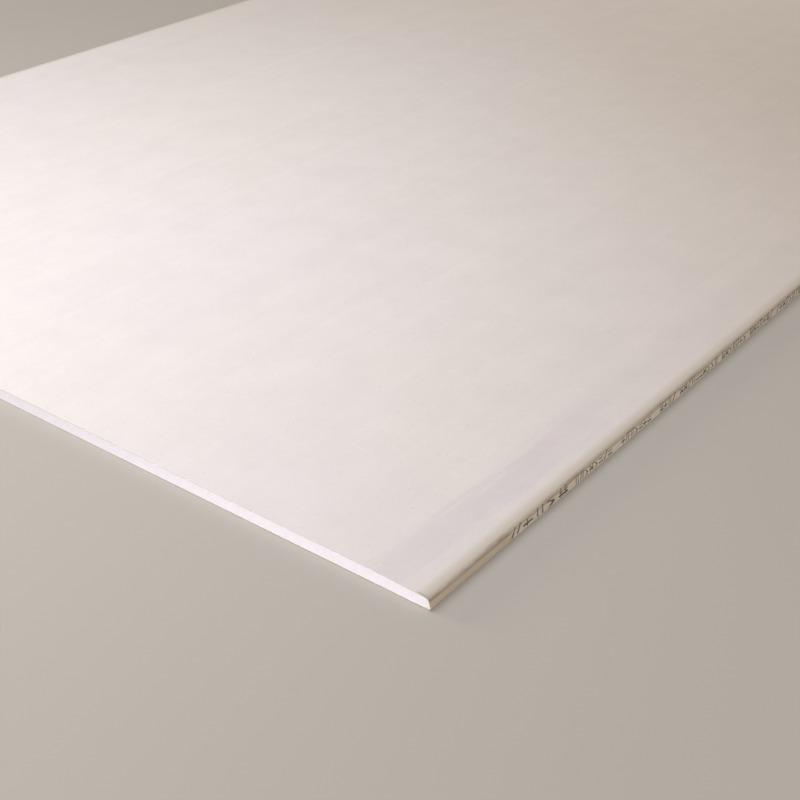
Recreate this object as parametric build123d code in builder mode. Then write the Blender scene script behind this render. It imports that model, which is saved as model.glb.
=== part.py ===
"""Gypsum board with half-round tapered long edges, lying flat with its face up.

Millimetres. The length runs along X, the width along Y, and the back lies on Z = 0.
The board is a gypsum core inside two papers. The face paper covers the face, is folded
round both long edges and ends under the core in two narrow flaps. The back paper is flat
and is lapped over those flaps. Both ends are sawn square, so there the core is bare.
"""

import os
from math import cos, radians, sin, sqrt, tan

from build123d import *

# Stock size of the board.
board_length = 2000.0
board_width = 1250.0
board_thickness = 12.5

# Paper.
paper_thickness = 0.35
flap_width = 25.0
back_paper_setback = 12.0

# Taper: the face falls from the full thickness to a narrow level shelf beside the shoulder.
taper_width = 60.0
taper_depth = 1.35
taper_blend_radius = 180.0
shelf_width = 4.1

# Half-round shoulder between the shelf and the scored fold. It starts with a gentle lead-in.
shoulder_height = 3.85
lead_radius = 70.0
lead_angle = 7.5
shoulder_radius = 4.8
shoulder_step = 0.45

# Scored fold: a sharp crease along the edge, where the paper was bent over its score line.
fold_mouth = 0.9
fold_depth = 1.0

# Lower band of the edge, which leans out from the fold to the nose and is a little hollow.
band_lean = 15.0
band_hollow = 0.25
nose_radius = 2.1

half_width = board_width / 2
shelf_height = board_thickness - taper_depth
fold_height = shelf_height - shoulder_height
section_plane = Plane.YZ.offset(-board_length / 2)

# Nose at the foot of the edge. The face paper's underside is one paper thickness up,
# because the back paper lies below the flaps.
nose_centre = (half_width - nose_radius, paper_thickness + nose_radius)
lean = radians(band_lean)
band_foot = (
    nose_centre[0] + nose_radius * cos(lean),
    nose_centre[1] + nose_radius * sin(lean),
)

# Band and fold.
band_top_height = fold_height - fold_mouth / 2
band_top_inset = (band_top_height - band_foot[1]) * tan(lean)
band_top = (band_foot[0] - band_top_inset, band_top_height)
fold_bottom = (band_top[0] - fold_depth, fold_height)

# Shoulder: its round starts at the fold and runs on into the lead-in, which ends level
# with the shelf.
lead = radians(lead_angle)
shoulder_foot = (band_top[0] - shoulder_step, fold_height + fold_mouth / 2)
round_top_height = shelf_height - lead_radius * (1 - cos(lead))
foot_cosine = cos(lead) - (round_top_height - shoulder_foot[1]) / shoulder_radius
round_run = shoulder_radius * (sqrt(1 - foot_cosine**2) - sin(lead))
round_top = (shoulder_foot[0] - round_run, round_top_height)
shoulder_top = (round_top[0] - lead_radius * sin(lead), shelf_height)

# Outside of the face paper, in the section's own plane.
with BuildLine() as outside:
    Line((0, paper_thickness), (nose_centre[0], paper_thickness))
    CenterArc(nose_centre, nose_radius, -90, 90 + band_lean)
    SagittaArc(band_foot, band_top, band_hollow)
    Polyline(band_top, fold_bottom, shoulder_foot)
    RadiusArc(shoulder_foot, round_top, -shoulder_radius)
    RadiusArc(round_top, shoulder_top, -lead_radius)
    FilletPolyline(
        shoulder_top,
        (shoulder_top[0] - shelf_width, shelf_height),
        (half_width - taper_width, board_thickness),
        (0, board_thickness),
        radius=taper_blend_radius,
    )
    mirror(about=Plane.YZ)

with BuildSketch() as wrapped_section:
    add(outside.line)
    make_face()

# Inside the wrap, down to the flaps, and between the flaps down to the back paper.
with BuildSketch() as core_section:
    add(wrapped_section.sketch)
    offset(amount=-paper_thickness)
    with Locations((0, paper_thickness)):
        Rectangle(
            board_width - 2 * flap_width,
            paper_thickness,
            align=(Align.CENTER, Align.MIN),
        )

with BuildPart() as gypsum_core:
    with BuildSketch(section_plane):
        add(core_section.sketch)
    extrude(amount=board_length)

with BuildPart() as face_paper:
    with BuildSketch(section_plane):
        add(wrapped_section.sketch)
        add(core_section.sketch, mode=Mode.SUBTRACT)
    extrude(amount=board_length)

with BuildPart() as back_paper:
    with BuildSketch(section_plane):
        Rectangle(
            board_width - 2 * back_paper_setback,
            paper_thickness,
            align=(Align.CENTER, Align.MIN),
        )
    extrude(amount=board_length)

os.makedirs("parts", exist_ok=True)

gypsum_core.part.label = "gypsum_core"
export_step(gypsum_core.part, "parts/gypsum_core.step")

face_paper.part.label = "face_paper"
export_step(face_paper.part, "parts/face_paper.step")

back_paper.part.label = "back_paper"
export_step(back_paper.part, "parts/back_paper.step")
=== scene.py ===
"""Looks of the gypsum board: paper with frayed ends, a foamed core, edge marks and a studio.

Lengths are in millimetres until a mesh, a place or a material is made, which is in metres.
The first number given to waves or swell is its seed.
"""

import math
import random

import bmesh
import bpy
import numpy as np
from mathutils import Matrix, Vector
from mathutils.geometry import delaunay_2d_cdt


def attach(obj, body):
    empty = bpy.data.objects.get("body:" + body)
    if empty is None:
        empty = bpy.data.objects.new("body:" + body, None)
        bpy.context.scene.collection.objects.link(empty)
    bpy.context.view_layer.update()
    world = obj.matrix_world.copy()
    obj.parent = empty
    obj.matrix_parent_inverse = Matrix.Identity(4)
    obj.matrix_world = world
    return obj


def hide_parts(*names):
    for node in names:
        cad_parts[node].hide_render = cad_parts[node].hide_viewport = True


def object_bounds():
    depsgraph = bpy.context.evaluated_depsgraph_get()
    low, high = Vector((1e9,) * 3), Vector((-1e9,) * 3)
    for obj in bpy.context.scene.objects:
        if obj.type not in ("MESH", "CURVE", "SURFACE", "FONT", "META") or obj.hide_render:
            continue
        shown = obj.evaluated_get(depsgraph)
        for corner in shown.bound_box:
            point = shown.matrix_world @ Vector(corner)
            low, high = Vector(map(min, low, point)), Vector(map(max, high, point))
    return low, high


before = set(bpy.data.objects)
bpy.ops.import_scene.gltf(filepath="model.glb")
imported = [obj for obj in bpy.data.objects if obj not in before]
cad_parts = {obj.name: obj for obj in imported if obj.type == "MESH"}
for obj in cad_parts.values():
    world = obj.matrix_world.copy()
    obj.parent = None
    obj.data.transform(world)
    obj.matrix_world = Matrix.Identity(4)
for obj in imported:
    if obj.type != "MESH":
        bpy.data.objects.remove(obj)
cad_low, cad_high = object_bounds()

MM = 0.001

# The board, with the sizes that its solids have.
LENGTH = (cad_high.x - cad_low.x) / MM
WIDTH = (cad_high.y - cad_low.y) / MM
THICKNESS = (cad_high.z - cad_low.z) / MM
PAPER = 0.35
FLAP_WIDTH = 25.0
BACK_SETBACK = 12.0
TAPER_WIDTH = 60.0
TAPER_DEPTH = 1.35
TAPER_BLEND_RADIUS = 180.0
SHELF_WIDTH = 4.1
SHOULDER_HEIGHT = 3.85
LEAD_RADIUS = 70.0
LEAD_ANGLE = math.radians(7.5)
SHOULDER_RADIUS = 4.8
SHOULDER_STEP = 0.45
FOLD_MOUTH = 0.9
FOLD_DEPTH = 1.0
BAND_LEAN = math.radians(15.0)
BAND_HOLLOW = 0.25
NOSE_RADIUS = 2.1

HALF_LENGTH = LENGTH / 2
HALF_WIDTH = WIDTH / 2
SHELF_LEVEL = THICKNESS - TAPER_DEPTH
FOLD_LEVEL = SHELF_LEVEL - SHOULDER_HEIGHT

# Unevenness of the real board. The highest points stay at the nominal surface.
FACE_WAVE = 0.1
EDGE_WAVE = 0.07
FOLD_WAVE = 0.12
HOLLOW_WAVE = 0.1
FOLD_DEPTH_WAVE = 0.16

# The face's unevenness fades out on the shoulder, between these heights.
FACE_WAVE_LEVELS = (8.0, 11.0)

# The saw pressed the fold shut: the share of its depth left at the board's ends, and the
# distances from an end over which it opens again.
FOLD_LEFT = 0.55
FOLD_OPENS = (2, 26)

# Rounding of the fold's corners: how far it reaches, and at most which share of a side.
FOLD_LIP = 0.3
FOLD_ROUND = 0.12
MOST_ROUNDED = 0.45

# Steps in the outline of the edge.
LEAD_STEPS = 7
SHOULDER_STEPS = 14
LIP_STEPS = 3
FOLD_STEPS = 2
BAND_STEPS = 8
NOSE_STEPS = 12
FLAP_SHARES = (0.3, 0.6, 1.0)


# Seeded noise

NOISE_GAIN = 1.5


def waves(seed, shortest, longest, count=7):
    """Smooth noise along a line, about -1 to 1: sines of random length and phase."""
    draw = random.Random(seed)
    parts = [
        (math.tau / draw.uniform(shortest, longest), draw.uniform(0, math.tau))
        for _ in range(count)
    ]
    gain = NOISE_GAIN / math.sqrt(count)

    def value(x):
        return np.tanh(gain * sum(np.sin(rate * x + phase) for rate, phase in parts))

    return value


def swell(seed, shortest, longest, count=12):
    """Smooth noise over a plane, about -1 to 1: sines in random directions."""
    draw = random.Random(seed)
    parts = []
    for _ in range(count):
        rate = math.tau / draw.uniform(shortest, longest)
        turn = draw.uniform(0, math.tau)
        parts.append((rate * math.cos(turn), rate * math.sin(turn), draw.uniform(0, math.tau)))
    gain = NOISE_GAIN / math.sqrt(count)

    def value(x, y):
        return np.tanh(gain * sum(np.sin(a * x + b * y + phase) for a, b, phase in parts))

    return value


def ease(value, low, high):
    """0 below low, 1 above high and a smooth step between them."""
    share = np.clip((value - low) / (high - low), 0, 1)
    return share * share * (3 - 2 * share)


# Mesh making


def new_object(name, data):
    """An object in the scene for a mesh, a camera or a lamp."""
    made = bpy.data.objects.new(name, data)
    bpy.context.collection.objects.link(made)
    return made


def at_station(x, line):
    """A line in Y and Z, as points at one distance along the board."""
    return np.column_stack((np.full(len(line), x), line))


class Builder:
    """Collects the points and faces of one mesh."""

    def __init__(self):
        self.points = []
        self.faces = []

    def add_points(self, points):
        """Adds points and returns their numbers."""
        start = len(self.points)
        self.points.extend(map(tuple, points))
        return list(range(start, len(self.points)))

    def row(self, points, keys):
        """Adds a row of points. Its rising keys say which points of two rows are opposite."""
        return self.add_points(points), list(keys)

    def bridge(self, row_a, row_b):
        """Fills the strip between two rows, which may differ in their number of points."""
        (a, keys_a), (b, keys_b) = row_a, row_b
        if keys_a == keys_b:
            self.faces.extend(zip(a, a[1:], b[1:], b))
            return
        i = j = 0
        while i < len(a) - 1 or j < len(b) - 1:
            if j == len(b) - 1 or (i < len(a) - 1 and keys_a[i + 1] <= keys_b[j + 1]):
                self.faces.append((a[i], a[i + 1], b[j]))
                i += 1
            else:
                self.faces.append((a[i], b[j + 1], b[j]))
                j += 1

    def bridge_rings(self, ring_a, ring_b):
        """Fills the strip between two closed rings of equally many points."""
        a, b = ring_a + ring_a[:1], ring_b + ring_b[:1]
        self.faces.extend(zip(a, a[1:], b[1:], b))

    def piece(self, name, material, replaced=None, sharp=35.0):
        """Makes the object, rides it on the board and hides the part that it replaces."""
        mesh = bpy.data.meshes.new(name)
        mesh.from_pydata([tuple(c * MM for c in p) for p in self.points], [], self.faces)
        work = bmesh.new()
        work.from_mesh(mesh)
        bmesh.ops.recalc_face_normals(work, faces=work.faces)
        work.to_mesh(mesh)
        work.free()
        mesh.shade_smooth()
        mesh.set_sharp_from_angle(angle=math.radians(sharp))
        mesh.materials.append(material)
        made = new_object(name, mesh)
        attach(made, "root")
        if replaced:
            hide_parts(replaced)
        return made


# Section of the wrap

edge_shift = {side: waves(11 + side, 260, 900) for side in (-1, 1)}
fold_lift = {side: waves(21 + side, 180, 700) for side in (-1, 1)}
fold_work = {side: waves(31 + side, 60, 320) for side in (-1, 1)}
band_work = {side: waves(41 + side, 90, 400) for side in (-1, 1)}
face_work = swell(51, 190, 620)


def band_ends(shift, fold_height):
    """The lower and the upper end of the band, as inset and height."""
    foot = (
        shift + NOSE_RADIUS * (1 - math.cos(BAND_LEAN)),
        PAPER + NOSE_RADIUS * (1 + math.sin(BAND_LEAN)),
    )
    top_height = fold_height - FOLD_MOUTH / 2
    return foot, (foot[0] + (top_height - foot[1]) * math.tan(BAND_LEAN), top_height)


def shoulder_frame(band_top, fold_height):
    """The shoulder's foot, the inset where its lead-in starts and the angle at its foot."""
    foot = (band_top[0] + SHOULDER_STEP, fold_height + FOLD_MOUTH / 2)
    round_top = SHELF_LEVEL - LEAD_RADIUS * (1 - math.cos(LEAD_ANGLE))
    foot_angle = math.acos(math.cos(LEAD_ANGLE) - (round_top - foot[1]) / SHOULDER_RADIUS)
    run = SHOULDER_RADIUS * (math.sin(foot_angle) - math.sin(LEAD_ANGLE))
    return foot, foot[0] + run + LEAD_RADIUS * math.sin(LEAD_ANGLE), foot_angle


SHOULDER_START = shoulder_frame(band_ends(0, FOLD_LEVEL)[1], FOLD_LEVEL)[1]
TAPER_FOOT = SHOULDER_START + SHELF_WIDTH


def face_level(inset):
    """Nominal height of the face at a distance in from the long edge."""
    fall = TAPER_DEPTH / (TAPER_WIDTH - TAPER_FOOT)
    blend = TAPER_BLEND_RADIUS * math.tan(math.atan(fall) / 2)
    if inset >= TAPER_WIDTH + blend:
        return THICKNESS
    if inset <= TAPER_FOOT - blend:
        return SHELF_LEVEL
    if inset < TAPER_FOOT + blend:
        return SHELF_LEVEL + (inset - TAPER_FOOT + blend) ** 2 / (2 * TAPER_BLEND_RADIUS)
    if inset > TAPER_WIDTH - blend:
        return THICKNESS - (TAPER_WIDTH + blend - inset) ** 2 / (2 * TAPER_BLEND_RADIUS)
    return SHELF_LEVEL + (inset - TAPER_FOOT) * fall


def arc(centre, radius, start, end, steps):
    """Points of an arc, with the angles in degrees."""
    turns = np.radians(np.linspace(start, end, steps + 1))
    return [(centre[0] + radius * math.cos(a), centre[1] + radius * math.sin(a)) for a in turns]


def soften(corner, before, after, reach, steps):
    """Points that round a corner between its two neighbours."""
    corner = np.array(corner)
    first = np.array(before) - corner
    last = np.array(after) - corner
    start = corner + first * min(MOST_ROUNDED, reach / np.linalg.norm(first))
    end = corner + last * min(MOST_ROUNDED, reach / np.linalg.norm(last))
    return [
        tuple((1 - u) ** 2 * start + 2 * u * (1 - u) * corner + u * u * end)
        for u in np.linspace(0, 1, steps + 1)
    ]


def hollow_line(start, end, hollow, steps):
    """Points of a slightly hollow line, without its first."""
    start = np.array(start)
    line = np.array(end) - start
    inward = np.array((-line[1], line[0])) / np.linalg.norm(line)
    return [
        tuple(start + line * u + inward * hollow * 4 * u * (1 - u))
        for u in np.linspace(0, 1, steps + 1)[1:]
    ]


def side_outline(x, side, face_insets, worn):
    """Outside of the face paper from mid-width to the flap's end, as inset and height."""
    shift = EDGE_WAVE * (1 + edge_shift[side](x)) * worn
    opened = FOLD_LEFT + (1 - FOLD_LEFT) * float(ease(HALF_LENGTH - abs(x), *FOLD_OPENS))
    uneven = opened * (1 + FOLD_DEPTH_WAVE * fold_work[side](x))
    depth = FOLD_DEPTH * (1 + worn * (uneven - 1))
    hollow = BAND_HOLLOW + HOLLOW_WAVE * band_work[side](x) * worn
    fold_height = FOLD_LEVEL + FOLD_WAVE * fold_lift[side](x) * worn

    band_foot, band_top = band_ends(shift, fold_height)
    fold_bottom = (band_top[0] + depth, fold_height)
    shoulder_foot, start, foot_angle = shoulder_frame(band_top, fold_height)
    nose_centre = (shift + NOSE_RADIUS, PAPER + NOSE_RADIUS)
    lead_centre = (start, SHELF_LEVEL - LEAD_RADIUS)
    round_centre = (
        start - (LEAD_RADIUS - SHOULDER_RADIUS) * math.sin(LEAD_ANGLE),
        lead_centre[1] + (LEAD_RADIUS - SHOULDER_RADIUS) * math.cos(LEAD_ANGLE),
    )
    round_start = 90 + math.degrees(LEAD_ANGLE)
    round_end = 90 + math.degrees(foot_angle)

    lead_in = arc(lead_centre, LEAD_RADIUS, 90, round_start, LEAD_STEPS)
    shoulder = arc(round_centre, SHOULDER_RADIUS, round_start, round_end, SHOULDER_STEPS)
    band = hollow_line(band_top, band_foot, hollow, BAND_STEPS)
    points = [(inset, face_level(inset)) for inset in face_insets]
    points += lead_in[:-1]
    points += shoulder[:-1]
    points += soften(shoulder_foot, shoulder[-2], fold_bottom, FOLD_LIP, LIP_STEPS)
    points += soften(fold_bottom, shoulder_foot, band_top, FOLD_ROUND, FOLD_STEPS)
    points += soften(band_top, fold_bottom, band[0], FOLD_LIP, LIP_STEPS)
    points += band[:-1]
    points += arc(nose_centre, NOSE_RADIUS, 180 - math.degrees(BAND_LEAN), 270, NOSE_STEPS)
    points += [(FLAP_WIDTH * share, PAPER) for share in FLAP_SHARES]
    return np.array(points)


def wrap_outline(x, face_insets, worn=1.0):
    """Outside of the face paper from one flap's end to the other's, as points in Y and Z."""
    right = side_outline(x, 1, face_insets, worn)
    left = side_outline(x, -1, face_insets, worn)
    right[:, 0] = HALF_WIDTH - right[:, 0]
    left[:, 0] = left[:, 0] - HALF_WIDTH
    path = np.vstack((left[::-1], right[1:]))
    high = ease(path[:, 1], *FACE_WAVE_LEVELS)
    path[:, 1] -= worn * FACE_WAVE * (1 + face_work(x, path[:, 0])) * high
    return path


def set_in(path, distance):
    """The path moved towards the core by a distance, with mitred corners."""
    run = np.diff(path, axis=0)
    run /= np.linalg.norm(run, axis=1)[:, None]
    inward = np.column_stack((run[:, 1], -run[:, 0]))
    before = np.vstack((inward[:1], inward))
    after = np.vstack((inward, inward[-1:]))
    mitre = (before + after) / (1 + np.sum(before * after, axis=1))[:, None]
    return path + mitre * distance


def distances_along(path):
    """Distance of each point of a path from its first, along the path."""
    steps = np.linalg.norm(np.diff(path, axis=0), axis=1)
    return np.concatenate(([0], np.cumsum(steps)))


def clear_of(path, points, distance):
    """True for each point that lies at least a distance from the path."""
    start, run = path[:-1], np.diff(path, axis=0)
    gap = points[:, None, :] - start[None]
    share = np.clip(np.sum(gap * run, axis=2) / np.sum(run * run, axis=1), 0, 1)
    near = np.linalg.norm(gap - share[..., None] * run[None], axis=2)
    return near.min(axis=1) >= distance


# Spacing of the points across the face, between the ends and by an end, and on the taper.
COARSE_SPACING = 24.0
FINE_SPACING = 1.1
TAPER_SPACING = 3.0

# The flat part ends this far past the taper, and the taper's points this far from the shoulder.
FLAT_MARGIN = 8.0
SHOULDER_MARGIN = 0.5

# The inside of the paper keeps the points that lie this share of its thickness away.
INNER_SHARE = 0.97


class Wrap:
    """One spacing of points across the face, and which of them the paper's inside keeps."""

    def __init__(self, spacing):
        flat_end = TAPER_WIDTH + FLAT_MARGIN
        flat_count = max(2, round((HALF_WIDTH - flat_end) / spacing))
        flat = np.linspace(HALF_WIDTH, flat_end, flat_count)
        taper_step = min(spacing, TAPER_SPACING)
        taper_end = SHOULDER_START + SHOULDER_MARGIN
        taper = np.arange(flat_end - taper_step, taper_end, -taper_step)
        self.insets = list(flat) + list(taper)
        nominal = wrap_outline(0, self.insets, worn=0)
        along = distances_along(nominal)
        keys = along - along[-1] / 2
        self.kept = clear_of(nominal, set_in(nominal, PAPER), INNER_SHARE * PAPER)
        self.sides = ((self.outer, keys), (self.inner, keys[self.kept]))

    def outer(self, x):
        return wrap_outline(x, self.insets)

    def inner(self, x):
        return set_in(self.outer(x), PAPER)[self.kept]


coarse_wrap = Wrap(COARSE_SPACING)
fine_wrap = Wrap(FINE_SPACING)


# Frayed ends of the papers

# A cut edge lies back by this much, less or more by each of its two waves, and at most so far.
FRAY_BACK = 0.12
FRAY_WAVE = 0.05
MOST_FRAY = 1.7

# Small breaks in a cut edge: widths, depths, curve of the outline and raggedness.
CHIP_WIDTHS = (1.5, 5.5)
CHIP_DEPTHS = (0.25, 0.95)
CHIP_CURVE = 1.7
CHIP_RAGGED = 0.25

# Round the nose, between these distances past the half width, most of the fray fades.
FRAY_FADES = (-2, 4)
FRAY_FADED = 0.9

# Nicks in the face paper at the near end: distance from the near corner, width and depth.
NICKS = ((202, 4.0, 0.5), (257, 3.0, 0.8), (295, 7.5, 0.7), (339, 6.0, 0.9), (385, 5.0, 0.8))

# Mean distance between the seeded breaks at the near and at the far end.
NEAR_CHIP_SPACING = 85
FAR_CHIP_SPACING = 48

# Distances of the fine rows from an end, the gap between them and the coarse rows, and the
# steps between the coarse rows of each paper.
END_STEPS = (0.0, 0.5, 1.2, 2.4, 5.0)
STATION_MARGIN = 4
FACE_STATION_STEP = 11.5
BACK_STATION_STEP = 60.0

# The back paper: spacing of its points, and how far the points near its long edges move.
BACK_FINE_SPACING = 2.0
BACK_COARSE_SPACING = 40.0
BACK_TRIM = 0.25
BACK_TRIM_REACH = 1


def chips(seed, spacing, placed=()):
    """Small breaks in a cut edge: where along it, how wide and how deep."""
    draw = random.Random(seed)
    made = list(placed)
    place = -HALF_WIDTH
    while place < HALF_WIDTH:
        place += draw.expovariate(1 / spacing)
        made.append((place, draw.uniform(*CHIP_WIDTHS), draw.uniform(*CHIP_DEPTHS)))
    return made


def fray(keys, breaks, seed):
    """How far a cut edge lies back from the end of the board."""
    rough = waves(seed, 1.8, 7.0, 11)(keys)
    slow = waves(seed + 1, 25, 120)(keys)
    ragged = waves(seed + 2, 1.2, 3.0, 9)(keys)
    back = FRAY_BACK + FRAY_WAVE * rough + FRAY_WAVE * slow
    for place, width, depth in breaks:
        share = np.abs(keys - place) / (width / 2)
        chip = depth * np.clip(1 - share**CHIP_CURVE, 0, 1)
        back = back + chip * (1 + CHIP_RAGGED * ragged)
    to_nose = ease(np.abs(keys) - HALF_WIDTH, *FRAY_FADES)
    return np.clip(back * (1 - FRAY_FADED * to_nose), 0, MOST_FRAY)


near_nicks = [(place - HALF_WIDTH, width, depth) for place, width, depth in NICKS]
face_breaks = {-1: chips(61, NEAR_CHIP_SPACING, near_nicks), 1: chips(62, FAR_CHIP_SPACING)}


def stations(step):
    """Distances along the board between the fine rows of its two ends."""
    reach = HALF_LENGTH - END_STEPS[-1] - STATION_MARGIN
    return np.linspace(-reach, reach, 2 * round(reach / step) + 1)


def end_rows(end, breaks, seed, outside, keys):
    """The rows of points by one end, from the cut edge inwards, for a line in Y and Z."""
    back = fray(keys, breaks, seed)
    rows = []
    for step in END_STEPS:
        x = end * (HALF_LENGTH - step - back * (1 - step / END_STEPS[-1]))
        line = outside(end * (HALF_LENGTH - step))
        rows.append(np.column_stack((x, line)))
    return rows


def sheet_rows(builder, fine, coarse, step, breaks, seeds):
    """The rows of one side of a sheet. Fine and coarse are each a line and its keys."""
    (fine_line, fine_keys), (coarse_line, coarse_keys) = fine, coarse
    first, last = (
        end_rows(end, breaks[end], seeds[end], fine_line, fine_keys) for end in (-1, 1)
    )
    rows = [builder.row(points, fine_keys) for points in first]
    for x in stations(step):
        rows.append(builder.row(at_station(x, coarse_line(x)), coarse_keys))
    rows += [builder.row(points, fine_keys) for points in reversed(last)]
    return rows


def close_sheet(builder, outer_rows, inner_rows):
    """Fills both sides of a sheet and closes it along its four edges."""
    for rows in (outer_rows, inner_rows):
        for one, other in zip(rows, rows[1:]):
            builder.bridge(one, other)
    for end in (0, -1):
        builder.bridge(outer_rows[end], inner_rows[end])
    for end in (0, -1):
        outer_line = [row[0][end] for row in outer_rows]
        inner_line = [row[0][end] for row in inner_rows]
        builder.faces.extend(zip(outer_line, outer_line[1:], inner_line[1:], inner_line))


def make_face_paper(material):
    """The sheet over the face, folded round both long edges, in one closed mesh."""
    builder = Builder()
    rows = [
        sheet_rows(builder, fine, coarse, FACE_STATION_STEP, face_breaks, {-1: 71, 1: 74})
        for fine, coarse in zip(fine_wrap.sides, coarse_wrap.sides)
    ]
    close_sheet(builder, *rows)
    return builder.piece("face_paper_sheet", material, "face_paper")


def make_back_paper(material):
    """The flat sheet on the back, with its cut ends and long edges a little uneven."""
    builder = Builder()
    half = HALF_WIDTH - BACK_SETBACK
    trim = {-1: waves(81, 40, 300), 1: waves(82, 40, 300)}

    def side_at(level, spacing):
        """A line across one side of the sheet, and its keys."""
        across = np.linspace(-half, half, round(2 * half / spacing))

        def line(x):
            edge = BACK_TRIM * np.where(across < 0, 1 + trim[-1](x), -1 - trim[1](x))
            moved = across + edge * (np.abs(across) > half - BACK_TRIM_REACH)
            return np.column_stack((moved, np.full(len(across), level)))

        return line, across

    rows = []
    for level in (0.0, PAPER):
        fine, coarse = side_at(level, BACK_FINE_SPACING), side_at(level, BACK_COARSE_SPACING)
        no_breaks, seeds = {-1: [], 1: []}, {-1: 84, 1: 87}
        rows.append(sheet_rows(builder, fine, coarse, BACK_STATION_STEP, no_breaks, seeds))
    close_sheet(builder, *rows)
    return builder.piece("back_paper_sheet", material, "back_paper")


# Core

# How far the core's end lies back, the reliefs of its broken foam, and the wear of the nose
# with the distances from the long edge over which it sets in.
CORE_BACK = 0.3
GRIT = 0.03
LUMPS = 0.05
RIPPLE = 0.03
NOSE_WEAR = 0.45
NOSE_WORN = (5, 0.5)

# Rings round the core by each end: distance from the end, and how far it is set in there.
CORE_RINGS = ((3.0, 0.0), (6.0, 0.3))
CORE_FLOOR_SPACING = 2.5

# Points all over an end of the core: spacing, random shift, least distances from the face,
# the back and the nose, and from the outline in the strip by the long edge.
GRAIN = 0.95
GRAIN_SHIFT = 0.3
FACE_GAP = 0.7
BACK_GAP = 0.5
NOSE_GAP = 0.8
OUTLINE_GAP = 0.45
EDGE_STRIP = 26

# Cut air bubbles: how many are tried, least radius and range, depth over radius, and least
# distances from the long edge, the back, the face, each other and the points round them.
BUBBLES = 300
BUBBLE_LEAST = 0.25
BUBBLE_RANGE = 0.55
BUBBLE_DEPTH = 0.55
BUBBLE_EDGE_GAP = 9
BUBBLE_BACK_GAP = 0.6
BUBBLE_FACE_GAP = 0.8
BUBBLE_GAP = 0.2
BUBBLE_RIM = 0.15

# Rings of points in a bubble: share of its radius and number of points.
BUBBLE_RINGS = ((0.97, 9), (0.6, 6))


def core_loop(x, inset=0.0):
    """Outline of the core: the inside of the wrap, closed along the back paper."""
    top = set_in(fine_wrap.outer(x), PAPER + inset)[fine_wrap.kept]
    left, right = top[0][0], top[-1][0]
    count = 2 + round((right - left) / CORE_FLOOR_SPACING)
    across = np.linspace(right - inset, left + inset, count)
    floor = np.column_stack((across, np.full(count, PAPER + inset)))
    return np.vstack((top, floor))


def inside_loop(points, loop_points):
    """True for each point inside a closed outline, by counting the sides to its right."""
    a = loop_points
    b = np.roll(loop_points, -1, axis=0)
    y, z = points[:, 0][:, None], points[:, 1][:, None]
    spans = (a[:, 1] > z) != (b[:, 1] > z)
    rise = np.where(a[:, 1] == b[:, 1], 1.0, b[:, 1] - a[:, 1])
    crossing = a[:, 0] + (z - a[:, 1]) * (b[:, 0] - a[:, 0]) / rise
    return (np.sum(spans & (y < crossing), axis=1) % 2) == 1


def relief(points, end, bubbles):
    """How far the broken foam of the core's end lies back, at each point of the end."""
    across, height = points[:, 0], points[:, 1]
    grit = swell(91 + end, 1.6, 4.5, 26)(across, height)
    lumps = swell(93 + end, 6, 22, 14)(across, height)
    ripple = waves(95 + end, 5, 11, 8)(across)
    worn_nose = ease(HALF_WIDTH - np.abs(across), *NOSE_WORN)
    back = CORE_BACK + GRIT * grit + LUMPS * lumps + RIPPLE * ripple + NOSE_WEAR * worn_nose
    for centre_y, centre_z, radius in bubbles:
        near = np.abs(across - centre_y) < radius
        if near.any():
            gap = np.hypot(across[near] - centre_y, height[near] - centre_z)
            back[near] += BUBBLE_DEPTH * np.sqrt(np.clip(radius**2 - gap**2, 0, None))
    return np.maximum(back, 0)


def cap_grid(draw, loop_points):
    """Scattered points all over one end of the core, clear of its outline."""
    rows = round((THICKNESS - 2 * PAPER) / GRAIN)
    columns = round(WIDTH / GRAIN)
    grid = []
    for row in range(rows):
        for column in range(columns):
            y = column + (0.5 * (row % 2) + draw.uniform(-GRAIN_SHIFT, GRAIN_SHIFT))
            z = row + (0.5 + draw.uniform(-GRAIN_SHIFT, GRAIN_SHIFT))
            grid.append((-HALF_WIDTH + GRAIN * y, PAPER + GRAIN * z))
    grid = np.array(grid)
    across, height = grid[:, 0], grid[:, 1]
    top = np.array([face_level(HALF_WIDTH - abs(y)) for y in across]) - PAPER
    inset = HALF_WIDTH - np.abs(across)
    plain = inset > EDGE_STRIP
    inside = plain & (height < top - FACE_GAP) & (height > PAPER + BACK_GAP)
    strip = grid[(inset > NOSE_GAP) & ~plain]
    outline = np.vstack((loop_points, loop_points[:1]))
    in_loop = inside_loop(strip, loop_points) & clear_of(outline, strip, OUTLINE_GAP)
    return np.vstack((grid[inside], strip[in_loop]))


def cut_bubbles(draw):
    """The cut air bubbles of one end, as places and radii, and rings of points in them."""
    bubbles = []
    ring_points = []
    reach = HALF_WIDTH - BUBBLE_EDGE_GAP
    for _ in range(BUBBLES):
        radius = BUBBLE_LEAST + BUBBLE_RANGE * draw.random() ** 3
        y = draw.uniform(-reach, reach)
        top = face_level(HALF_WIDTH - abs(y)) - PAPER
        z = draw.uniform(PAPER + radius + BUBBLE_BACK_GAP, top - radius - BUBBLE_FACE_GAP)
        if any(math.hypot(y - b[0], z - b[1]) < radius + b[2] + BUBBLE_GAP for b in bubbles):
            continue
        bubbles.append((y, z, radius))
        turn = draw.uniform(0, math.tau)
        ring_points.append((y, z))
        for share, count in BUBBLE_RINGS:
            out = share * radius
            for k in range(count):
                a = turn + math.tau * k / count
                ring_points.append((y + out * math.cos(a), z + out * math.sin(a)))
    return bubbles, ring_points


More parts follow.
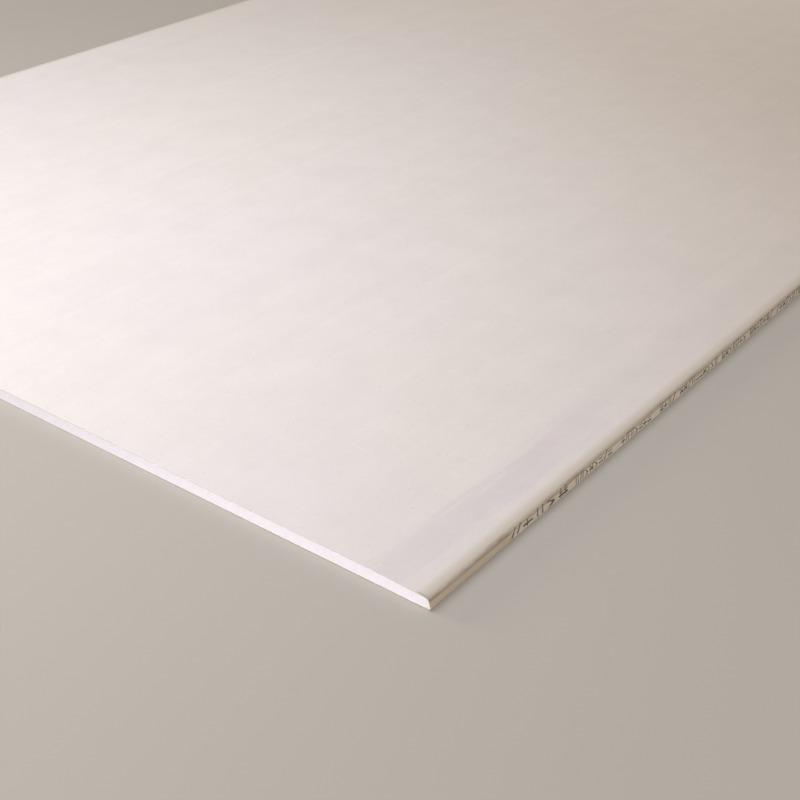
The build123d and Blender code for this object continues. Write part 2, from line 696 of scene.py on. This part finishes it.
def core_cap(builder, end, loop_points):
    """Fills one end of the core with fine faces, and returns the ring of its outline."""
    draw = random.Random(97 + end)
    grid = cap_grid(draw, loop_points)
    bubbles, ring_points = cut_bubbles(draw)
    for y, z, radius in bubbles:
        near = np.hypot(grid[:, 0] - y, grid[:, 1] - z) < radius + BUBBLE_RIM
        grid = grid[~near]

    every = [Vector(p) for p in np.vstack((loop_points, grid, ring_points))]
    size = len(loop_points)
    points, _, faces, origins, _, _ = delaunay_2d_cdt(every, [], [list(range(size))], 1, 1e-5)
    flat = np.array([(p.x, p.y) for p in points])
    back = relief(flat, end, bubbles)
    numbers = builder.add_points(np.column_stack((end * (HALF_LENGTH - back), flat)))
    builder.faces.extend(tuple(numbers[k] for k in face) for face in faces)
    place = {old: numbers[new] for new, olds in enumerate(origins) for old in olds}
    return [place[k] for k in range(size)]


def make_core(material):
    """The gypsum core, with broken foam at both ends and plain sides inside the papers."""
    builder = Builder()
    last_rings = []
    for end in (-1, 1):
        ring = core_cap(builder, end, core_loop(end * HALF_LENGTH))
        for from_end, inset in CORE_RINGS:
            x = end * (HALF_LENGTH - from_end)
            next_ring = builder.add_points(at_station(x, core_loop(x, inset)))
            builder.bridge_rings(ring, next_ring)
            ring = next_ring
        last_rings.append(ring)
    builder.bridge_rings(*last_rings)
    return builder.piece("gypsum_core_cut", material, "gypsum_core", sharp=50.0)


# Marks on the band of one long edge

MARK_SIDE = -1
MARK_START = 111.0
MARK_END = 1930.0
MARK_PITCH = 9.2
MARK_TOP = -0.9
MARK_SLANT = 0.35
SIGN_COLUMN = 1.3
SIGN_ROW = 0.95

# Width of the signs and radius of their dots, in the first group and in the later ones.
FIRST_SIZE = (1.95, 0.9)
LATER_SIZE = (0.85, 0.65)

DOT_GAP = 0.8
DOT_SIDES = 7
DOT_SPREAD = (0.85, 1.1)
DOT_SHIFT = 0.06
INK = 0.03

# Plain signs on a grid of 5 columns and 7 rows, each made of straight strokes.
SIGNS = (
    (((0, 7), (5, 0)),),
    (((1, 0), (1, 7)), ((4, 0), (4, 7))),
    (((0, 4), (5, 4)), ((2, 1), (2, 7))),
    (((0, 2), (5, 2)), ((0, 5), (5, 5))),
    (((0, 1), (4, 4)), ((4, 4), (0, 7))),
    (((1, 0), (1, 7)), ((4, 0), (4, 7)), ((0, 2), (5, 2)), ((0, 5), (5, 5))),
    (((0, 7), (2, 0)), ((3, 7), (5, 0))),
    (((0, 1), (5, 6)), ((0, 4), (5, 4)), ((0, 6), (5, 1))),
)
FIRST_SIGNS = (6, 2, 1, 4, 5)

# How many signs a later group has, and how many pitches lie before it.
GROUP_SIZES = (4, 7, 8, 10)
GROUP_GAPS = (1, 1, 2)


def stroke_dots(start, end, width):
    """The dots of a stroke, as distances along the edge and down from the sign's top."""
    a, b = (np.array((c * SIGN_COLUMN * width, r * SIGN_ROW)) for c, r in (start, end))
    steps = round(np.linalg.norm(b - a) / DOT_GAP)
    return [tuple(np.round(a + (b - a) * k / steps, 1)) for k in range(steps + 1)]


def print_path(x):
    """The three stretches of the edge that take print: shoulder, fold's floor and band.

    Each has its points, as inset and height, and their distance down from the fold's upper
    lip, less the roof of the fold, which takes no print.
    """
    outline = side_outline(x, MARK_SIDE, [SHOULDER_START + 1], 1.0)
    # The shoulder and the floor each end at the second point of a lip, and the floor starts
    # at the last point of the fold. Below the lower lip come the band, the nose and the flap.
    below = (BAND_STEPS - 1) + (NOSE_STEPS + 1) + len(FLAP_SHARES)
    floor_end = len(outline) - below - (LIP_STEPS - 1)
    floor_start = floor_end - 3
    roof_start = floor_start - FOLD_STEPS - (LIP_STEPS - 1)
    parts = (outline[:roof_start], outline[floor_start:floor_end], outline[floor_end:])
    downs = [distances_along(part) for part in parts]
    starts = (-downs[0][-1], 0.0, downs[1][-1])
    return [(part, start + down) for part, start, down in zip(parts, starts, downs)]


def on_path(path, downs, down):
    """The point at a distance along a path, with the outward normal there."""
    k = min(max(int(np.searchsorted(downs, down)), 1), len(path) - 1)
    run = path[k] - path[k - 1]
    normal = np.array((run[1], -run[0])) / np.linalg.norm(run)
    return np.interp(down, downs, path[:, 0]), np.interp(down, downs, path[:, 1]), normal


def place_dot(builder, x, down, nominal_radius, draw):
    """One printed dot: a thin many-sided disc on the curve of the edge, cut off at the fold."""
    radius = nominal_radius * draw.uniform(*DOT_SPREAD)
    x += draw.uniform(-DOT_SHIFT, DOT_SHIFT)
    turn = draw.uniform(0, math.tau)
    stretches = print_path(x)
    path, downs = next((s for s in stretches if down <= s[1][-1]), stretches[-1])
    rims = []
    for proud in (INK, -INK):
        rim = []
        for k in range(DOT_SIDES):
            a = turn + math.tau * k / DOT_SIDES
            reach = min(max(down + radius * math.sin(a), downs[0]), downs[-1])
            inset, height, normal = on_path(path, downs, reach)
            inset = max(inset + normal[0] * proud, 0)
            height += normal[1] * proud
            rim.append((x + radius * math.cos(a), MARK_SIDE * (HALF_WIDTH - inset), height))
        rims.append(builder.add_points(rim))
    top, bottom = rims
    builder.faces.append(tuple(top))
    builder.faces.append(tuple(reversed(bottom)))
    builder.bridge_rings(top, bottom)


def make_marks(material):
    """A row of plain signs in printed dots along the fold and the band."""
    builder = Builder()
    draw = random.Random(101)
    choose = random.Random(119)
    x = -HALF_LENGTH + MARK_START
    width, dot_radius = FIRST_SIZE
    signs = [SIGNS[k] for k in FIRST_SIGNS]
    while x < -HALF_LENGTH + MARK_END:
        for sign in signs:
            dots = set()
            for start, end in sign:
                dots.update(stroke_dots(start, end, width))
            for along, down in sorted(dots):
                down += MARK_TOP
                place_dot(builder, x + along - down * MARK_SLANT, down, dot_radius, draw)
            x += MARK_PITCH * width
        width, dot_radius = LATER_SIZE
        signs = choose.choices(SIGNS, k=choose.choice(GROUP_SIZES))
        x += MARK_PITCH * width * choose.choice(GROUP_GAPS)
    return builder.piece("edge_marks", material)


# Materials


class Nodes:
    """Makes and links the nodes of a material or of the world."""

    def __init__(self, tree):
        self.tree = tree

    def add(self, kind, settings=(), *values, **named):
        """A node, with its settings and with its inputs, given in order or by name."""
        node = self.tree.nodes.new(kind)
        for key, value in dict(settings).items():
            setattr(node, key, value)
        for socket, value in zip(node.inputs, values):
            self.feed(socket, value)
        for key, value in named.items():
            self.feed(node.inputs[key], value)
        return node

    def feed(self, socket, value):
        """Links a socket to another or sets its value."""
        if isinstance(value, bpy.types.NodeSocket):
            self.tree.links.new(value, socket)
        else:
            socket.default_value = value

    def math(self, operation, *values):
        """A sum or other operation on one, two or three values."""
        return self.add("ShaderNodeMath", {"operation": operation}, *values).outputs[0]

    def vector_math(self, operation, *vectors):
        """A sum or other operation on vectors."""
        return self.add("ShaderNodeVectorMath", {"operation": operation}, *vectors).outputs[0]

    def product(self, first, *others):
        """The product of two or more values."""
        for value in others:
            first = self.math("MULTIPLY", first, value)
        return first

    def step(self, value, low, high, start=0.0, end=1.0):
        """start below low, end above high, and a smooth step between them."""
        smooth = {"interpolation_type": "SMOOTHSTEP"}
        node = self.add("ShaderNodeMapRange", smooth, value, low, high, start, end)
        return node.outputs["Result"]

    def mix(self, share, a, b):
        """A colour between two colours."""
        node = self.add("ShaderNodeMix", {"data_type": "RGBA"}, Factor=share)
        self.feed(node.inputs[6], a)
        self.feed(node.inputs[7], b)
        return node.outputs[2]

    def background_rays(self):
        """1 for the rays that show the background: camera, glossy and transmission rays."""
        rays = self.add("ShaderNodeLightPath").outputs
        seen = self.math("MAXIMUM", rays["Is Camera Ray"], rays["Is Glossy Ray"])
        return self.math("MAXIMUM", seen, rays["Is Transmission Ray"])


class Looks(Nodes):
    """A node material under construction, in the object's own coordinates in metres."""

    def __init__(self, name):
        self.material = bpy.data.materials.new(name)
        self.material.use_nodes = True
        super().__init__(self.material.node_tree)
        self.shader = self.tree.nodes["Principled BSDF"]
        self.place = self.add("ShaderNodeTexCoord").outputs["Object"]
        split = self.add("ShaderNodeSeparateXYZ", Vector=self.place)
        self.x, self.y, self.z = split.outputs

    def inside(self, place, half):
        """How far inside the board's edge or end a place lies, in metres."""
        return self.math("SUBTRACT", half * MM, self.math("ABSOLUTE", place))

    def turned(self, place, angle):
        """Coordinates turned about Z."""
        settings = {"rotation_type": "Z_AXIS"}
        node = self.add("ShaderNodeVectorRotate", settings, Vector=place, Angle=angle)
        return node.outputs[0]

    def stretched(self, scale, turn=0.0):
        """The object's coordinates, turned about Z and then scaled."""
        return self.vector_math("MULTIPLY", self.turned(self.place, turn), scale)

    def moved(self, offset):
        """The object's coordinates, moved along the face."""
        return self.vector_math("ADD", self.place, (offset, 0.43 * offset, 0))

    def noise(self, size, detail=2.0, rough=0.5, coords=None):
        """Noise from 0 to 1 with features of about this size in metres."""
        inputs = {"Scale": 1 / size, "Detail": detail, "Roughness": rough}
        node = self.add("ShaderNodeTexNoise", Vector=coords or self.place, **inputs)
        return node.outputs["Fac"]

    def cells(self, size, coords=None):
        """Distance to the nearest of scattered points, in metres, and a random value for it."""
        node = self.add("ShaderNodeTexVoronoi", Vector=coords or self.place, Scale=1 / size)
        tint = self.add("ShaderNodeSeparateColor", Color=node.outputs["Color"])
        return self.product(node.outputs["Distance"], size), tint.outputs[0]

    def hairs(self, spacing, length, width):
        """1 on scattered bent hairs at random angles, 0 beside them. Lengths in metres."""
        place = self.moved(CELL_SHIFT * spacing)
        flat = {"voronoi_dimensions": "2D"}
        node = self.add("ShaderNodeTexVoronoi", flat, Vector=place, Scale=1 / spacing)
        draw = self.add("ShaderNodeSeparateColor", Color=node.outputs["Color"]).outputs
        offset = self.vector_math("SUBTRACT", place, node.outputs["Position"])
        hair = self.turned(offset, self.product(draw[1], math.pi))
        along, across, _ = self.add("ShaderNodeSeparateXYZ", Vector=hair).outputs
        bend = self.product(self.math("SUBTRACT", draw[2], 0.5), HAIR_BEND / length)
        bent = self.product(along, along, bend)
        beside = self.math("ABSOLUTE", self.math("SUBTRACT", across, bent))
        return self.product(
            self.step(beside, width / 2, width / 5),
            self.step(self.math("ABSOLUTE", along), length / 2, length / 3),
            self.math("LESS_THAN", draw[0], HAIR_SHARE),
        )

    def shade(self, colour, level):
        """A colour times a level."""
        if isinstance(colour, tuple):
            colour = colour[:3]
        scale = {"operation": "SCALE"}
        return self.add("ShaderNodeVectorMath", scale, colour, Scale=level).outputs[0]

    def vary(self, colour, noise, share):
        """A colour that a noise makes brighter or darker, by up to a share."""
        return self.shade(colour, self.step(noise, 0.25, 0.75, 1 - share, 1 + share))

    def finish(self, colour, roughness, reliefs, specular=0.3):
        """Feeds the shader and returns the material.

        Each relief is a height, a distance in metres and a strength.
        """
        before = self.shader
        for height, distance, strength in reversed(reliefs):
            node = self.add("ShaderNodeBump", Height=height, Distance=distance, Strength=strength)
            self.feed(before.inputs["Normal"], node.outputs["Normal"])
            before = node
        self.feed(self.shader.inputs["Base Color"], colour)
        self.feed(self.shader.inputs["Roughness"], roughness)
        self.shader.inputs["Specular IOR Level"].default_value = specular
        return self.material


# Each layer of cells is moved by this many times its size, so that the layers don't line up.
CELL_SHIFT = 7.3

# How much the hairs bend, and the share of the cells that hold one.
HAIR_BEND = 0.9
HAIR_SHARE = 0.5

# Fibres: their scale along, across and down, and the angle and weight of each direction.
FIBRE_SCALE = (420, 3200, 1500)
FIBRE_TURNS = ((0.12, 0.5), (0.9, 0.25), (-0.7, 0.25))


def paper_fibres(looks):
    """Short fibres in three directions, most of them along the board, from 0 to 1."""
    total = 0.0
    for turn, weight in FIBRE_TURNS:
        fibre = looks.noise(1.0, 1.0, 0.5, looks.stretched(FIBRE_SCALE, turn))
        total = looks.math("MULTIPLY_ADD", fibre, weight, total)
    return total


PAPER_WHITE = (0.845, 0.775, 0.765, 1)
PAPER_WARM = (0.84, 0.77, 0.735, 1)
# A cool tone, darker than the paper: partly the paper's own tint, partly painted shade on the
# taper's slope.
PAPER_COOL_AND_SHADE = (0.785, 0.70, 0.70, 1)
# Painted warm shade: the paper darker and warmer away from the near corner, as if under weaker,
# warmer light.
PAINTED_WARM_SHADE = (0.77, 0.672, 0.605, 1)
# Painted shade with a warm cast, on the shoulder as it turns down.
PAINTED_SHOULDER_SHADE = (0.655, 0.565, 0.445, 1)
# Painted shade with warm bounce light on the band below the fold, lighter where the marks run.
PAINTED_BAND_BOUNCE_SHADE = (0.72, 0.60, 0.43, 1)
PAINTED_BAND_LIGHTER = (0.91, 0.83, 0.69, 1)
PAPER_DARK_BY_ENDS = (0.42, 0.385, 0.37, 1)
# Painted shade in the scored fold. The stain patches mixed into it are real.
PAINTED_FOLD_SHADE = (0.44, 0.345, 0.245, 1)
PAPER_STAIN = (0.62, 0.53, 0.30, 1)
PAPER_PLY = (0.56, 0.50, 0.44, 1)
SPECK_LIGHT = (0.94, 0.92, 0.90, 1)
SPECK_DARK = (0.45, 0.39, 0.36, 1)

# Where the paper's tints set in and where they are full, in metres: along the board where
# the name says so, and otherwise in from its long edge.
# The painted warm shade sets in across a slanted line and weakens towards the far end.
WARM_SHADE_SLANT = -1.3
WARM_SHADE_ALONG = (-0.6, 1.05)
WARM_SHADE_FADES_ALONG = (0.15, 0.75)
# Where the cool tone and painted shade of the taper lie: weaker on the level strip, fading along
# the board.
COOL_SHADE_INNER = (0.063, 0.052)
COOL_SHADE_OUTER = (0.018, 0.032)
COOL_SHADE_ALONG = (-0.60, -0.78)
COOL_SHADE_WANDER = 0.05
# The painted shade on the shoulder: in from the long edge, then weaker along the board.
SHOULDER_SHADE_INSET = (0.0165, 0.0045)
SHOULDER_SHADE_ALONG = (-0.75, -0.45)
NEAR_EDGE = (0.006, 0.003)
FOLD_ALONG = (-0.88, -0.72)
# Where the shoulder turns darker grey by each cut end.
DARK_BY_ENDS_INNER = (0.016, 0.010)
DARK_BY_ENDS_OUTER = (0.002, 0.004)

# Heights for the painted shade in the crease and the painted light on the band, in metres, over
# the fold's own.
FOLD_HEIGHT = FOLD_LEVEL * MM + 0.0001
CREASE_FOOT = (-0.0008, -0.0002)
CREASE_TOP = (0.0014, 0.0042)
CREASE_FULL = 0.0005
BAND_TOP = (0.0004, -0.0004)

# Places along the board, in millimetres, between which the band's painted light grows brighter by
# the marks.
PRINT_ALONG = (-HALF_LENGTH + MARK_START - 5, -HALF_LENGTH + MARK_START + 3)

# Specks: spacing, colour, strength and largest radius.
SPECKS = ((0.016, SPECK_LIGHT, 0.7, 0.0009), (0.029, SPECK_DARK, 0.4, 0.0007))

# Hairs: spacing, length, width, colour and strength.
HAIRS = (
    (0.019, 0.0050, 0.0007, SPECK_DARK, 0.24),
    (0.023, 0.0075, 0.0007, SPECK_LIGHT, 0.5),
    (0.027, 0.0035, 0.0009, SPECK_DARK, 0.30),
)


def face_tints(looks, inset):
    """White paper: painted warm shade away from the near corner, cooler and partly painted shade
    on the taper.
    """
    colour = looks.mix(looks.step(looks.noise(0.4), 0.3, 0.7), PAPER_WHITE, PAPER_WARM)
    # Painted warm shade, darker and warmer away from the near corner.
    across = looks.math("MULTIPLY_ADD", looks.y, WARM_SHADE_SLANT, looks.x)
    painted_warm_shade = looks.product(
        looks.step(across, *WARM_SHADE_ALONG),
        looks.step(looks.x, *WARM_SHADE_FADES_ALONG, 1.0, 0.25),
    )
    colour = looks.mix(painted_warm_shade, colour, PAINTED_WARM_SHADE)
    # Along the near taper the paper turns cooler and darker, partly as painted shade of its
    # slope.
    bands = looks.noise(1.0, 4.0, 0.6, looks.stretched((11.0, 150.0, 150.0), 0.04))
    off_middle = looks.math("SUBTRACT", bands, 0.5)
    wandering = looks.math("MULTIPLY_ADD", off_middle, COOL_SHADE_WANDER, inset)
    cool_and_shade = looks.product(
        looks.step(wandering, *COOL_SHADE_INNER),
        looks.step(wandering, *COOL_SHADE_OUTER, 0.05, 1.0),
        looks.step(looks.noise(0.16, 3.0, 0.6), 0.35, 0.65, 0.6, 1.0),
        looks.step(looks.x, *COOL_SHADE_ALONG),
    )
    return looks.mix(cool_and_shade, colour, PAPER_COOL_AND_SHADE)


def with_specks(looks, colour):
    """The colour with scattered specks and hairs."""
    for size, tint, amount, widest in SPECKS:
        gap, pick = looks.cells(size, looks.moved(size * CELL_SHIFT))
        speck = looks.math("LESS_THAN", gap, looks.step(pick, 0.55, 1.0, 0.0, widest))
        colour = looks.mix(looks.product(speck, amount), colour, tint)
    for spacing, length, width, tint, amount in HAIRS:
        hair = looks.hairs(spacing, length, width)
        colour = looks.mix(looks.product(hair, amount), colour, tint)
    return colour


def with_edge(looks, colour, inset, worn):
    """The colour with painted shade on the shoulder and crease, stains, and painted light on the
    band.
    """
    # Painted shade on the shoulder, weaker along the board.
    brown = looks.product(
        looks.step(inset, *SHOULDER_SHADE_INSET),
        looks.step(looks.x, *SHOULDER_SHADE_ALONG, 0.85, 0.70),
    )
    colour = looks.mix(brown, colour, PAINTED_SHOULDER_SHADE)

    near_edge = looks.step(inset, *NEAR_EDGE)
    off_fold = looks.math("SUBTRACT", looks.z, FOLD_HEIGHT)
    crease_top = looks.step(worn, 0.32, 0.68, *CREASE_TOP)
    # Painted shade in the crease, with stain patches mixed in.
    crease_shade = looks.product(
        looks.step(off_fold, *CREASE_FOOT),
        looks.step(off_fold, crease_top, CREASE_FULL),
        near_edge,
        looks.step(worn, 0.3, 0.7, 0.3, 0.95),
        looks.step(looks.x, *FOLD_ALONG, 1.0, 0.5),
    )
    stain = looks.step(looks.noise(0.035), 0.53, 0.66, 0.0, 0.75)
    colour = looks.mix(crease_shade, colour, looks.mix(stain, PAINTED_FOLD_SHADE, PAPER_STAIN))

    # Where the marks run, the band gets more painted light.
    printed = looks.product(
        looks.step(looks.x, *(place * MM for place in PRINT_ALONG)),
        looks.step(looks.y, 0.001, -0.001),
    )
    # Painted shade with warm bounce light on the band, below the fold.
    band = looks.product(
        looks.step(off_fold, *BAND_TOP),
        near_edge,
        looks.step(looks.x, *FOLD_ALONG, 0.6, 0.9),
    )
    return looks.mix(band, colour, looks.mix(printed, PAINTED_BAND_BOUNCE_SHADE, PAINTED_BAND_LIGHTER))


def with_cut_ends(looks, colour, inset, worn):
    """The colour darker grey on the shoulder by each cut end, and with grey plies on the cut
    ends.
    """
    from_end = looks.inside(looks.x, HALF_LENGTH)
    dark_by_ends = looks.product(
        looks.step(inset, *DARK_BY_ENDS_INNER),
        looks.step(inset, *DARK_BY_ENDS_OUTER),
        looks.step(from_end, looks.step(worn, 0.3, 0.7, 0.002, 0.006), 0.0004, 0.0, 0.55),
    )
    colour = looks.mix(dark_by_ends, colour, PAPER_DARK_BY_ENDS)
    true_normal = looks.add("ShaderNodeNewGeometry").outputs["True Normal"]
    facing = looks.add("ShaderNodeSeparateXYZ", Vector=true_normal).outputs["X"]
    cut = looks.step(looks.math("ABSOLUTE", facing), 0.6, 0.8, 0.0, 0.8)
    return looks.mix(cut, colour, PAPER_PLY)


def paper_material():
    """Off-white liner paper: cloudy, with fibres and specks, and painted light and shade at the
    edge.
    """
    looks = Looks("face_paper_looks")
    inset = looks.inside(looks.y, HALF_WIDTH)
    clouds = looks.noise(0.05, 5.0, 0.6)
    streaks = looks.noise(1.0, 3.0, 0.6, looks.stretched((0.9, 70.0, 70.0)))
    # A slow noise. At the edge it varies the painted shade in the crease and the darker grey by
    # the ends.
    worn = looks.noise(1.0, 3.0, 0.6, looks.stretched((34.0, 150.0, 150.0)))
    fibres = paper_fibres(looks)
    colour = face_tints(looks, inset)
    for noise, share in ((clouds, 0.02), (streaks, 0.012), (fibres, 0.03)):
        colour = looks.vary(colour, noise, share)
    colour = with_specks(looks, colour)
    colour = with_edge(looks, colour, inset, worn)
    colour = with_cut_ends(looks, colour, inset, worn)

    roughness = looks.step(clouds, 0.3, 0.7, 0.86, 0.96)
    reliefs = (
        (looks.noise(0.009, 3.0), 0.00025, 0.5),
        (fibres, 0.00006, 0.6),
        (looks.noise(0.0007, 3.0, 0.6), 0.00004, 0.5),
    )
    return looks.finish(colour, roughness, reliefs)


GYPSUM_WHITE = (0.90, 0.875, 0.90, 1)
GYPSUM_CREAM = (0.89, 0.84, 0.76, 1)

# The core is cream this near to the long edge, and darker, as painted shade, this near to
# mid-width, in metres.
CREAM_INSET = (0.006, 0.001)
PAINTED_SHADE_OFF_MIDDLE = (0.10, 0.48)
PAINTED_SHADE_LEVEL = 0.87


def gypsum_material():
    """White foamed gypsum, matt and porous, cream by the long edges, with painted shade mid-width
    and in pores.
    """
    looks = Looks("gypsum_looks")
    inset = looks.inside(looks.y, HALF_WIDTH)
    colour = looks.mix(looks.step(inset, *CREAM_INSET), GYPSUM_WHITE, GYPSUM_CREAM)
    colour = looks.vary(colour, looks.noise(0.006, 4.0, 0.6), 0.018)
    off_middle = looks.math("ABSOLUTE", looks.y)
    colour = looks.shade(colour, looks.step(off_middle, *PAINTED_SHADE_OFF_MIDDLE, PAINTED_SHADE_LEVEL, 1.0))
    gap, pick = looks.cells(0.0009)
    pore = looks.product(looks.step(gap, 0.0003, 0.0001), looks.step(pick, 0.5, 0.9))
    # The pores are darkened a little, as painted shade in them.
    colour = looks.shade(colour, looks.math("MULTIPLY_ADD", pore, -0.15, 1.0))
    pitted = looks.math("SUBTRACT", 1.0, pore)
    reliefs = ((pitted, 0.00015, 0.6), (looks.noise(0.0006, 4.0, 0.7), 0.00012, 0.5))
    return looks.finish(colour, 0.95, reliefs, 0.2)


BACK_BROWN = (0.40, 0.335, 0.265, 1)
BACK_GREY = (0.35, 0.305, 0.255, 1)
FLECK_LIGHT = (0.56, 0.50, 0.43, 1)
FLECK_DARK = (0.17, 0.14, 0.12, 1)


def back_material():
    """Grey-brown recycled paper with light and dark flecks."""
    looks = Looks("back_paper_looks")
    clouds = looks.noise(0.03, 5.0, 0.6)
    fibres = paper_fibres(looks)
    colour = looks.mix(looks.step(clouds, 0.3, 0.7), BACK_BROWN, BACK_GREY)
    colour = looks.vary(colour, fibres, 0.08)
    for size, tint in ((0.007, FLECK_LIGHT), (0.011, FLECK_DARK)):
        coords = looks.stretched((0.5 / size, 1.4 / size, 1 / size), size * 60)
        gap, pick = looks.cells(1.0, coords)
        fleck = looks.math("LESS_THAN", gap, looks.step(pick, 0.4, 1.0, 0.0, 0.14))
        colour = looks.mix(looks.product(fleck, 0.6), colour, tint)
    reliefs = ((fibres, 0.0001, 0.7), (looks.noise(0.0008, 3.0, 0.6), 0.00006, 0.6))
    return looks.finish(colour, 0.95, reliefs, 0.2)


INK_DARK = (0.115, 0.095, 0.08, 1)
INK_THIN = (0.30, 0.25, 0.20, 1)


def ink_material():
    """Dark ink, thin in places where the paper's fibres show through."""
    looks = Looks("edge_ink_looks")
    thin = looks.step(looks.noise(0.0015, 3.0, 0.7), 0.42, 0.72)
    colour = looks.mix(thin, INK_DARK, INK_THIN)
    return looks.finish(colour, 0.75, [(paper_fibres(looks), 0.00006, 0.6)])


FLOOR_COLOUR = (0.50, 0.455, 0.405, 1)
BACKDROP_COLOUR = (0.56, 0.525, 0.475, 1)

# The floor's share of backdrop at the board, and how far from the board it is all backdrop.
BACKDROP_SHARE = 0.3
FLOOR_FADE = 1.5


def floor_material():
    """Plain pale floor, a little cloudy, which fades into the backdrop round the board."""
    looks = Looks("floor_looks")
    colour = looks.vary(FLOOR_COLOUR, looks.noise(0.6, 3.0), 0.01)
    squares = []
    for place, half in ((looks.x, HALF_LENGTH), (looks.y, HALF_WIDTH)):
        beyond = looks.math("MINIMUM", looks.inside(place, half), 0.0)
        squares.append(looks.product(beyond, beyond))
    from_board = looks.math("SQRT", looks.math("ADD", *squares))
    faded = looks.step(from_board, 0.0, FLOOR_FADE, BACKDROP_SHARE, 1.0)
    share = looks.product(faded, looks.background_rays())
    backdrop = looks.add("ShaderNodeEmission", Color=BACKDROP_COLOUR).outputs["Emission"]
    lit_floor = looks.shader.outputs["BSDF"]
    both = looks.add("ShaderNodeMixShader", (), share, lit_floor, backdrop).outputs["Shader"]
    looks.feed(looks.tree.nodes["Material Output"].inputs["Surface"], both)
    looks.material.cycles.emission_sampling = "NONE"
    return looks.finish(colour, 1.0, [(looks.noise(0.002), 0.00005, 0.4)], 0.1)


make_face_paper(paper_material())
make_core(gypsum_material())
make_back_paper(back_material())
make_marks(ink_material())


# Floor, camera and light, in metres

FLOOR_REACH = 20
FLOOR_DROP = 0.0001
FLOOR_CORNERS = ((-1, -1), (1, -1), (1, 1), (-1, 1))

floor_mesh = bpy.data.meshes.new("floor")
floor_points = [(x * FLOOR_REACH, y * FLOOR_REACH, -FLOOR_DROP) for x, y in FLOOR_CORNERS]
floor_mesh.from_pydata(floor_points, [], [(0, 1, 2, 3)])
floor = new_object("floor", floor_mesh)
floor_mesh.materials.append(floor_material())

# The camera stands past the near corner and looks down on it, at these angles in degrees.
CAMERA_HEADING = 37.71
CAMERA_PITCH = 31.08
CAMERA_FROM_CORNER = Vector((-0.657, -0.479, 0.675))
FRAME_PIXELS = 800
FOCAL_PIXELS = 1392
SENSOR = 36.0

camera_data = bpy.data.cameras.new("camera")
camera_data.sensor_width = SENSOR
camera_data.lens = SENSOR * FOCAL_PIXELS / FRAME_PIXELS
camera = new_object("camera", camera_data)
near_corner = Vector((-HALF_LENGTH * MM, -HALF_WIDTH * MM, 0))
camera.location = near_corner + CAMERA_FROM_CORNER
camera.rotation_euler = (math.radians(90 - CAMERA_PITCH), 0, math.radians(CAMERA_HEADING - 90))
bpy.context.scene.camera = camera

# Where the lamps look, and each lamp's name, place, aim, size, watts and colour.
BOARD_MIDDLE = (-0.5, -0.1, 0)
NEAR_END = (-1.0, -0.3, 0)
NEAR_LONG_EDGE = (-0.6, -0.62, 0)
FAR_MIDDLE = (0.9, 0, 0)
LAMPS = (
    ("low_light", (-1.83, 8.94, 2.0), BOARD_MIDDLE, (2.2, 1.8), 450, (1.0, 0.935, 0.79)),
    ("top_light", (-1.22, 0.33, 1.25), BOARD_MIDDLE, (1.4, 1.2), 23.1, (0.89, 0.935, 1.0)),
    ("end_light", (-4.25, -2.16, 0.71), NEAR_END, (1.2, 0.8), 83, (0.99, 0.955, 1.0)),
    ("edge_light", (0.2, -3.2, 0.6), NEAR_LONG_EDGE, (1.6, 0.8), 3.7, (1.0, 0.95, 0.89)),
    ("far_light", (1.9, 0.3, 0.9), FAR_MIDDLE, (1.2, 1.0), 8.6, (1.0, 0.90, 0.76)),
)


def soft_light(name, place, aim, size, watts, colour):
    """A rectangular soft light that looks at a point."""
    data = bpy.data.lights.new(name, "AREA")
    data.shape = "RECTANGLE"
    data.size, data.size_y = size
    data.energy = watts
    data.color = colour
    light = new_object(name, data)
    light.visible_camera = False
    light.location = place
    light.rotation_euler = (Vector(aim) - Vector(place)).to_track_quat("-Z", "Y").to_euler()


for lamp in LAMPS:
    soft_light(*lamp)

# The room's own light on the board. What the camera sees of the room is the backdrop.
ROOM_LIGHT = (0.10, 0.082, 0.055, 1)
world = bpy.data.worlds.new("studio")
bpy.context.scene.world = world
world.use_nodes = True
room = Nodes(world.node_tree)
room_colour = room.mix(room.background_rays(), ROOM_LIGHT, BACKDROP_COLOUR)
room.feed(room.tree.nodes["Background"].inputs["Color"], room_colour)

bpy.context.scene.view_settings.view_transform = "Standard"
